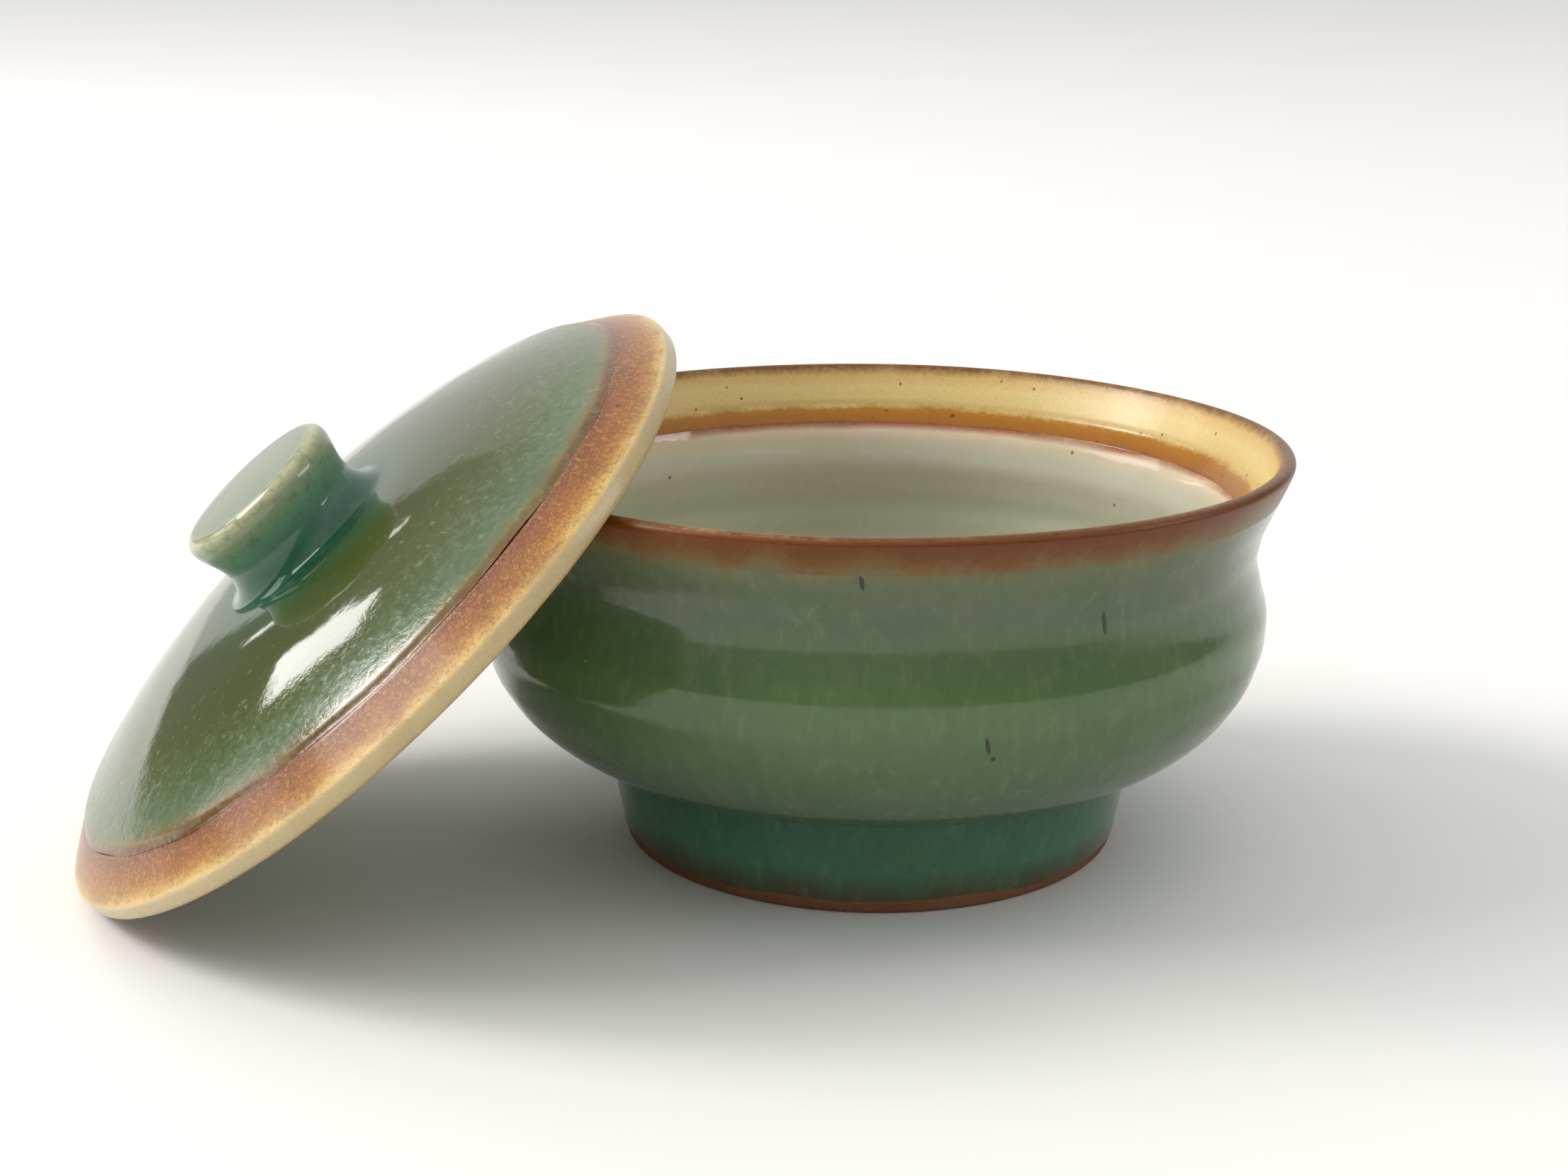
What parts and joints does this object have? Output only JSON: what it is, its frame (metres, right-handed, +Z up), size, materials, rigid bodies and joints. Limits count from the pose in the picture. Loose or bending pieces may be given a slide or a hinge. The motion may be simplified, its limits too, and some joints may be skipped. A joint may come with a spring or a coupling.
{
  "type": "lidded rice bowl",
  "caption": "Round stoneware rice bowl on a foot ring with a flared lip, and a separate domed lid with a flat-topped knob leaning on its rim.",
  "frame": {"origin": "centre of the foot ring's resting plane, on the bowl's axis", "axes": "+Z up along the bowl's axis; -X towards the side the lid leans on; +Y away from the side the lid leans round to"},
  "size_m": [0.1897, 0.1439, 0.0828],
  "materials": {
    "clay": "satin",
    "foot_clay": "matte",
    "green_glaze": "gloss",
    "liner_glaze": "gloss",
    "lid_clay": "satin",
    "lid_green_glaze": "gloss",
    "lid_liner_glaze": "gloss"
  },
  "bodies": {
    "bowl": {"bowl_body": "clay", "bowl_foot_ring": "foot_clay", "bowl_outer_glaze": "green_glaze", "bowl_liner_glaze": "liner_glaze"},
    "lid": {"lid_disc": "lid_clay", "lid_knob": "lid_clay", "lid_top_glaze": "lid_green_glaze", "lid_underside_glaze": "lid_liner_glaze"}
  },
  "joints": [
    {"name": "lid_lift", "type": "slide", "parent": "bowl", "child": "lid", "axis": [0, 0, 1], "range_m": [0, 0.1]}
  ]
}
